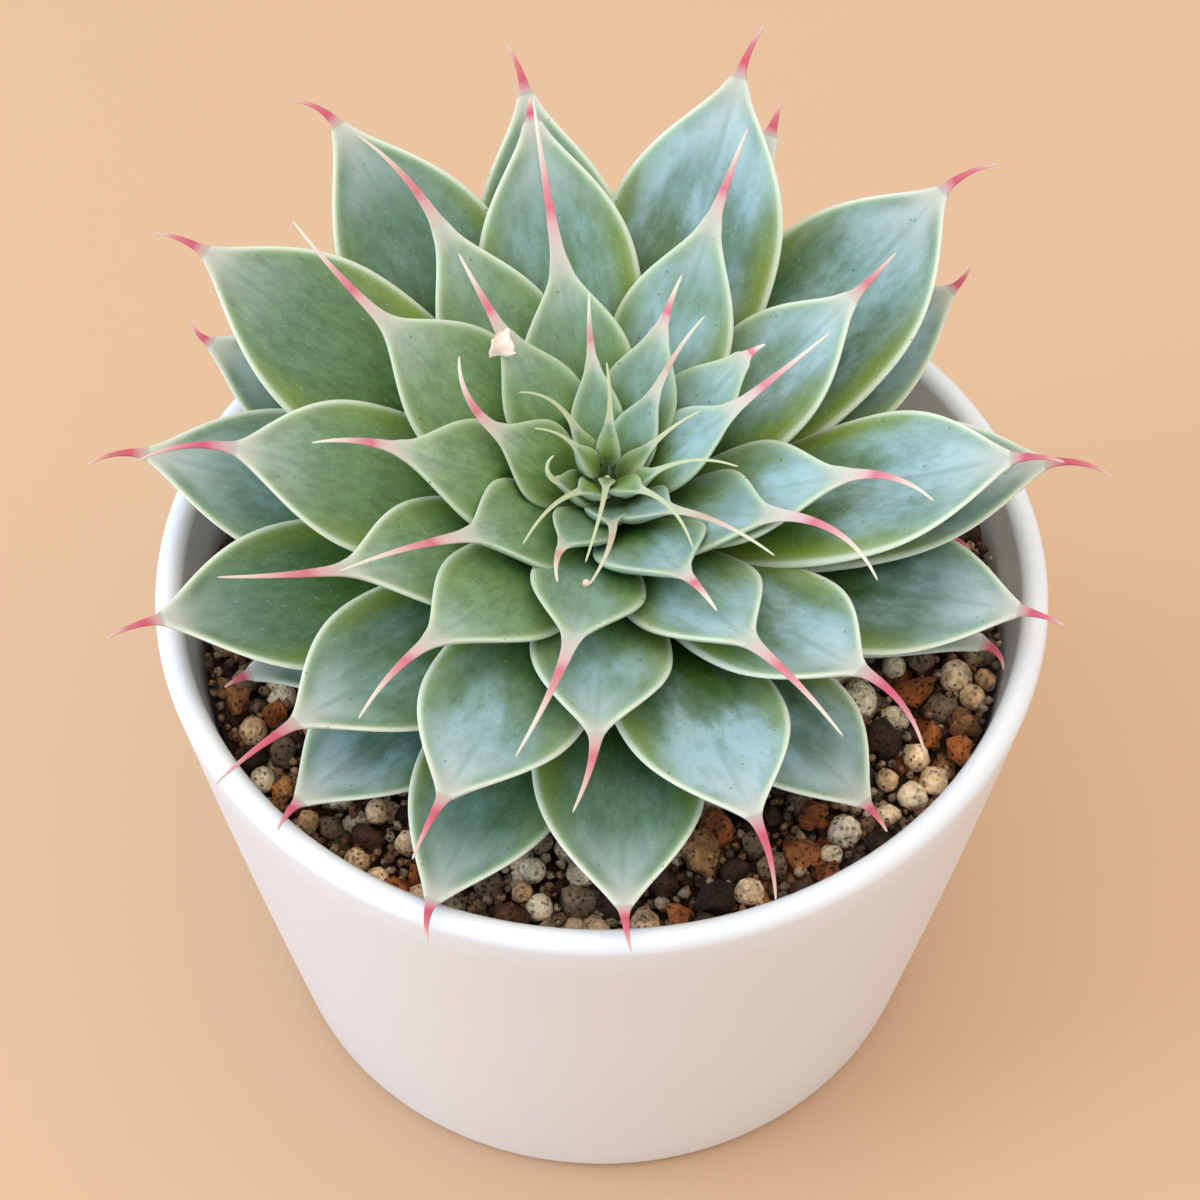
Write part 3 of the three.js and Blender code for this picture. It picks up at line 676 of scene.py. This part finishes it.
# Painted shade: a darker line along the midrib near the tip, where the groove is.
crease_shade = product(powdered, eased(powdered, from_midrib, 0.1, 0.45, 0.5, 0.0),
                 eased(powdered, along, 0.62, 0.8), mottle)
tipped = mixed(powdered, crease_shade, tipped, CREASE_SHADE)
drawn_out = put(powdered, "VectorMath", {0: lay, 1: (3.2, 1.3, 1.0)}, operation="MULTIPLY").outputs[0]
flecks = speckle(powdered, drawn_out, 1.3, 2, 0.6)
tipped = mixed(powdered, eased(powdered, flecks, 0.62, 0.76, 0.0, 0.3), tipped, FLECK)
dots = put(powdered, "TexVoronoi", {"Vector": lay, "Scale": 0.55}).outputs["Distance"]
tipped = mixed(powdered, eased(powdered, dots, 0.05, 0.11, 0.55, 0.0), tipped, DOT)
tipped = mixed(powdered, eased(powdered, along, 0.90, 1.0, 0.0, 0.75), tipped, TIP_BLUSH)
print("with powder, rim and marks:", len(powdered.nodes), "nodes")

# %% [markdown]
# The awns. On a young leaf the awn runs from cream through pink to a pale thread, and on an old one it is
# red for most of its length. The heart's awns are still pale green. Powdered skin is a little rougher than
# bare skin, and a fine relief breaks up the highlight.

# %% Powdered leaf group: awns and surface
PALE_AWN, HEART_AWN = (0.64, 0.70, 0.48), (0.55, 0.62, 0.38)
young_awn = ramp(powdered, out, [
    (0.0, (0.62, 0.60, 0.55)), (0.12, (0.70, 0.58, 0.56)), (0.24, (0.76, 0.44, 0.50)),
    (0.34, (0.70, 0.10, 0.22)), (0.48, (0.74, 0.24, 0.33)), (0.64, (0.82, 0.58, 0.55)),
    (0.82, (0.84, 0.80, 0.68)), (1.0, (0.80, 0.76, 0.62))])
old_awn = ramp(powdered, out, [
    (0.0, (0.46, 0.46, 0.38)), (0.12, (0.60, 0.32, 0.33)), (0.28, (0.58, 0.09, 0.15)),
    (0.60, (0.62, 0.16, 0.21)), (0.84, (0.70, 0.40, 0.38)), (1.0, (0.66, 0.52, 0.44))])
awn = mixed(powdered, eased(powdered, youth, 0.32, 0.62), old_awn, young_awn)
awn = mixed(powdered, eased(powdered, youth, 0.72, 0.88, 0.0, 0.75), awn, PALE_AWN)
awn = mixed(powdered, sum_of(powdered, "MULTIPLY", freshness, 1.5, clamp=True), awn, HEART_AWN)
skin = mixed(powdered, eased(powdered, out, 0.0, 0.04), tipped, awn)

roughness = eased(powdered, powder_and_light_cover, 0.0, 1.0, 0.46, 0.68)
roughness = sum_of(powdered, "ADD", roughness, eased(powdered, grain, 0.3, 0.7, -0.05, 0.05))
relief = sum_of(powdered, "ADD", product(powdered, mottle, 0.6), grain)
powdered.links.new(skin, result.inputs["Colour"])
powdered.links.new(roughness, result.inputs["Roughness"])
powdered.links.new(relief, result.inputs["Relief"])
print("leaf group nodes:", len(powdered.nodes))

# %% [markdown]
# The group goes into three materials. Flesh lets a little light through, so a small subsurface weight
# softens the shadows between the leaves; it is one number for the whole skin, set on the shader itself.

# %% Leaf materials
def leaf_skin(name, powder, freshness):
    made, tree, shader = painted(name)
    skin = put(tree, "Group", node_tree=powdered)
    skin.inputs["Powder"].default_value = powder
    skin.inputs["Freshness"].default_value = freshness
    tree.links.new(skin.outputs["Colour"], shader.inputs["Base Color"])
    tree.links.new(skin.outputs["Roughness"], shader.inputs["Roughness"])
    add_relief(tree, shader, skin.outputs["Relief"], 0.35, 0.00012)
    shader.inputs["Specular IOR Level"].default_value = 0.3
    shader.inputs["Subsurface Weight"].default_value = 0.18
    shader.inputs["Subsurface Radius"].default_value = (0.6, 1.0, 0.35)
    shader.inputs["Subsurface Scale"].default_value = 0.0012
    return made


outer_skin = leaf_skin("outer leaf skin", 0.85, 0.0)
inner_skin = leaf_skin("inner leaf skin", 0.75, 0.1)
heart_skin = leaf_skin("heart leaf skin", 0.12, 0.55)
for order, leaf in enumerate(leaves):
    leaf.data.materials.append(outer_skin if order < OLD_LEAVES else inner_skin)
heart.data.materials.append(heart_skin)
print("leaf materials: 3")

# %% [markdown]
# The stem is short and almost hidden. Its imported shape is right, so it stays and only gets its bark: a dark
# green-brown skin with rings where old leaves broke off.

# %% Stem
bark, tree, shader = painted("stem bark")
place = put(tree, "TexCoord").outputs["Object"]
rings = put(tree, "TexWave", {"Vector": place, "Scale": 320, "Distortion": 2.5, "Detail": 2},
            wave_type="BANDS", bands_direction="Z").outputs["Fac"]
tree.links.new(mixed(tree, rings, (0.05, 0.075, 0.025), (0.11, 0.14, 0.055)), shader.inputs["Base Color"])
shader.inputs["Roughness"].default_value = 0.75
add_relief(tree, shader, rings, 0.5, 0.0002)
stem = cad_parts["stem"]
stem.data.materials.clear()
stem.data.materials.append(bark)

# %% [markdown]
# The grit is what fills the pot: dark fines below, and on top a mix of round pumice beads, lumps of baked
# clay, chips of lava and small crumbs. A displaced plane would show bumps but no gaps, so each pellet is a
# body of its own. One faceted ball is made for each kind; every pellet is a copy that is stretched,
# roughened and turned by a seeded draw. The bed of fines comes first, turned like the pot.

# %% Bed of dark fines
GRIT_TOP = 53.2
FINES_TOP = GRIT_TOP - 1
WALL_GAP, FLOOR_GAP = 0.4, 0.3


def inner_wall(z):
    low, top = FLOOR_THICKNESS + CORNER_HEIGHT, POT_HEIGHT - LIP / 2
    return mix(FLOOR_RADIUS + CORNER_WIDTH, RIM_RADIUS - LIP, (z - low) / (top - low))


bed_outline = [(0, FLOOR_THICKNESS + FLOOR_GAP), (FLOOR_RADIUS - 1.9, FLOOR_THICKNESS + FLOOR_GAP),
               (inner_wall(8.3) - WALL_GAP, 8.3), (inner_wall(FINES_TOP) - WALL_GAP, FINES_TOP)]
bed_outline += [(r, FINES_TOP) for r in range(40, 3, -2)] + [(0, FINES_TOP)]
bed = turned("grit_bed", bed_outline, 96)
for corner in bed.data.vertices:
    if corner.co.z > (GRIT_TOP - 1.5) * MM:
        corner.co.z += 0.7 * MM * noise.noise(corner.co * 700)
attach(bed, "root")
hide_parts("grit")
print("bed top, mm:", FINES_TOP)

# %% [markdown]
# Where the pellets go. Places are drawn at random over the pot's mouth. One is kept when it cuts only a
# little into the pellets before it and clears the wall and the lowest leaves, which are the only ones that
# reach down so far. Two layers give depth: the lower one fills the gaps of the upper, and crumbs fill the
# rest. A grid of square cells keeps the search for neighbours short.

# %% Lay out the pellets
random.seed(7)
LOW_LEAVES = 16
STEM_ROOM = 9
CELL = 4.6
leaf_trees = [joined_tree([leaf]) for leaf in leaves[:LOW_LEAVES]]


def clear_of_leaves(centre, radius):
    return all(tree.find_nearest(centre * MM, radius * MM)[0] is None for tree in leaf_trees)


def scatter(tries, sizes, low, high, crowding, pellets):
    kept = []
    for _ in range(tries):
        size = random.triangular(*sizes)
        z = random.uniform(low, high)
        reach = math.sqrt(random.random()) * (inner_wall(z) - size - 0.3)
        turn = random.uniform(0, 2 * math.pi)
        centre = Vector((reach * math.cos(turn), reach * math.sin(turn), z))
        if reach < STEM_ROOM or not fits(centre, size, crowding, pellets):
            continue
        if clear_of_leaves(centre, size + 0.1):
            keep(centre, size, pellets)
            kept.append((centre, size))
    return kept


def fits(centre, size, crowding, pellets):
    i, j = int(centre.x // CELL), int(centre.y // CELL)
    near = [p for a in (-1, 0, 1) for b in (-1, 0, 1) for p in pellets.get((i + a, j + b), ())]
    return all((centre - other).length > crowding * (size + reach) for other, reach in near)


def keep(centre, size, pellets):
    pellets.setdefault((int(centre.x // CELL), int(centre.y // CELL)), []).append((centre, size))


settled = {}
upper_layer = scatter(9000, (1.0, 2.15, 1.45), GRIT_TOP + 0.1, GRIT_TOP + 1.3, 0.93, settled)
lower_layer = scatter(6000, (0.9, 1.8, 1.4), GRIT_TOP - 1.4, GRIT_TOP - 0.3, 0.80, settled)
crumbs = scatter(16000, (0.3, 0.8, 0.45), GRIT_TOP - 0.8, GRIT_TOP + 1.2, 0.85, settled)
print("pellets:", len(upper_layer), "above,", len(lower_layer), "below,", len(crumbs), "crumbs")

# %% [markdown]
# Four kinds of pellet differ in how round and how rough they are. Each kind becomes one piece, and so do the
# crumbs. Each pellet carries a random tone, which its material turns into one of the kind's colours.

# %% Shape the pellets
def ball(subdivisions):
    bm = bmesh.new()
    bmesh.ops.create_icosphere(bm, subdivisions=subdivisions, radius=1)
    mesh = bpy.data.meshes.new("ball")
    bm.to_mesh(mesh)
    bm.free()
    return mesh


def pellet_piece(name, places, stretch, roughness, subdivisions):
    plain = ball(subdivisions)
    bm = bmesh.new()
    tones = []
    for centre, size in places:
        lump = plain.copy()
        shift = Vector((random.uniform(0, 50), random.uniform(0, 50), random.uniform(0, 50)))
        shape = Matrix.Diagonal([random.uniform(1 - stretch, 1 + stretch) for _ in range(3)]).to_4x4()
        turn = Matrix.Rotation(random.uniform(0, 6.28), 4, Vector(noise.random_unit_vector()))
        for corner in lump.vertices:
            swell = 1 + roughness * noise.noise(corner.co * 1.4 + shift)
            swell += 0.4 * roughness * noise.noise(corner.co * 3.4 + shift)
            corner.co = corner.co * swell
        lump.transform(Matrix.Translation(centre * MM) @ turn @ shape @ Matrix.Scale(size * MM, 4))
        bm.from_mesh(lump)
        tones += [random.random()] * len(lump.vertices)
        bpy.data.meshes.remove(lump)
    piece = finished(name, bm)
    piece.data.attributes.new("tone", "FLOAT", "POINT").data.foreach_set("value", tones)
    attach(piece, "root")
    return piece


noise.seed_set(5)
kinds = {"pumice_beads": [], "clay_lumps": [], "lava_chips": [], "grey_rock": []}
for place in upper_layer:
    kinds[random.choices(list(kinds), (46, 20, 17, 17))[0]].append(place)
for place in lower_layer:
    kinds[random.choices(list(kinds), (14, 30, 40, 16))[0]].append(place)
shapes = {"pumice_beads": (0.10, 0.22), "clay_lumps": (0.24, 0.85), "lava_chips": (0.24, 0.7),
          "grey_rock": (0.14, 0.45)}
grit_pieces = {name: pellet_piece(name, places, *shapes[name], 2) for name, places in kinds.items()}
grit_pieces["grit_crumbs"] = pellet_piece("grit_crumbs", crumbs, 0.25, 0.5, 1)
print("grit faces:", sum(len(p.data.polygons) for p in grit_pieces.values()))

# %% [markdown]
# Grit paint. Each kind has a ramp of its own tones, and all kinds share one group for its surface: pits
# painted darker than the skin as painted shade, patches of lighter and darker stone from weathering, and a
# rough surface.

# %% Pitted stone group
pitted, given, result = new_group(
    "pitted stone", {"Pit size": 1.0, "Pit depth": 0.5}, {"Shade": "Float", "Relief": "Float"})
place = put(pitted, "TexCoord").outputs["Object"]
size = product(pitted, given.outputs["Pit size"], 1500.0)
holes = put(pitted, "TexVoronoi", {"Vector": place, "Scale": size}).outputs["Distance"]
holes = eased(pitted, holes, 0.05, 0.38)
grain = speckle(pitted, place, 1900, 4, 0.7)
patch = speckle(pitted, place, 420, 3, 0.6)
# Painted shade: the pits are darkened by the pit depth.
deep = product(pitted, sum_of(pitted, "SUBTRACT", 1.0, holes), given.outputs["Pit depth"])
shade = sum_of(pitted, "SUBTRACT", eased(pitted, patch, 0.32, 0.68, 0.55, 1.3), deep)
shade = product(pitted, shade, eased(pitted, grain, 0.3, 0.7, 0.6, 1.25))
pitted.links.new(shade, result.inputs["Shade"])
pitted.links.new(sum_of(pitted, "ADD", product(pitted, grain, 0.6), holes), result.inputs["Relief"])

STONE_RELIEF = 0.0004
TONES = {
    "pumice_beads": [(0.0, (0.66, 0.38, 0.19)), (0.35, (1.0, 0.70, 0.42)), (0.75, (1.0, 0.86, 0.63)),
                     (1.0, (0.70, 0.46, 0.28))],
    "clay_lumps": [(0.0, (0.30, 0.07, 0.015)), (0.4, (0.46, 0.14, 0.03)), (0.7, (0.56, 0.29, 0.12)),
                   (1.0, (0.24, 0.09, 0.04))],
    "lava_chips": [(0.0, (0.038, 0.014, 0.007)), (0.6, (0.08, 0.034, 0.018)), (1.0, (0.14, 0.055, 0.026))],
    "grey_rock": [(0.0, (0.22, 0.14, 0.085)), (0.5, (0.38, 0.27, 0.17)), (1.0, (0.15, 0.095, 0.06))],
    "grit_crumbs": [(0.0, (0.07, 0.04, 0.03)), (0.3, (0.30, 0.13, 0.06)), (0.6, (0.42, 0.26, 0.14)),
                    (0.85, (0.58, 0.45, 0.32)), (1.0, (0.10, 0.06, 0.05))],
}
for name, stops in TONES.items():
    stone, tree, shader = painted(name.replace("_", " "))
    weather = put(tree, "Group", node_tree=pitted)
    weather.inputs["Pit depth"].default_value = 0.35 if name == "pumice_beads" else 0.5
    tone = ramp(tree, grown_value(tree, "tone"), stops)
    shade = weather.outputs["Shade"]
    tree.links.new(mixed(tree, 1.0, tone, grey_of(tree, shade), "MULTIPLY"), shader.inputs["Base Color"])
    shader.inputs["Roughness"].default_value = 0.85
    add_relief(tree, shader, weather.outputs["Relief"], 1.0, STONE_RELIEF)
    grit_pieces[name].data.materials.append(stone)

fines, tree, shader = painted("dark fines")
weather = put(tree, "Group", node_tree=pitted)
# Partly painted shade: the fines are their own dark colour, made darker still to stand for the shade in the
# gaps between the pellets.
fines_and_gap_shade = mixed(tree, weather.outputs["Shade"], (0.007, 0.003, 0.001), (0.055, 0.024, 0.011))
tree.links.new(fines_and_gap_shade, shader.inputs["Base Color"])
shader.inputs["Roughness"].default_value = 0.95
add_relief(tree, shader, weather.outputs["Relief"], 1.0, STONE_RELIEF)
bed.data.materials.append(fines)
print("grit materials:", len(TONES) + 1)
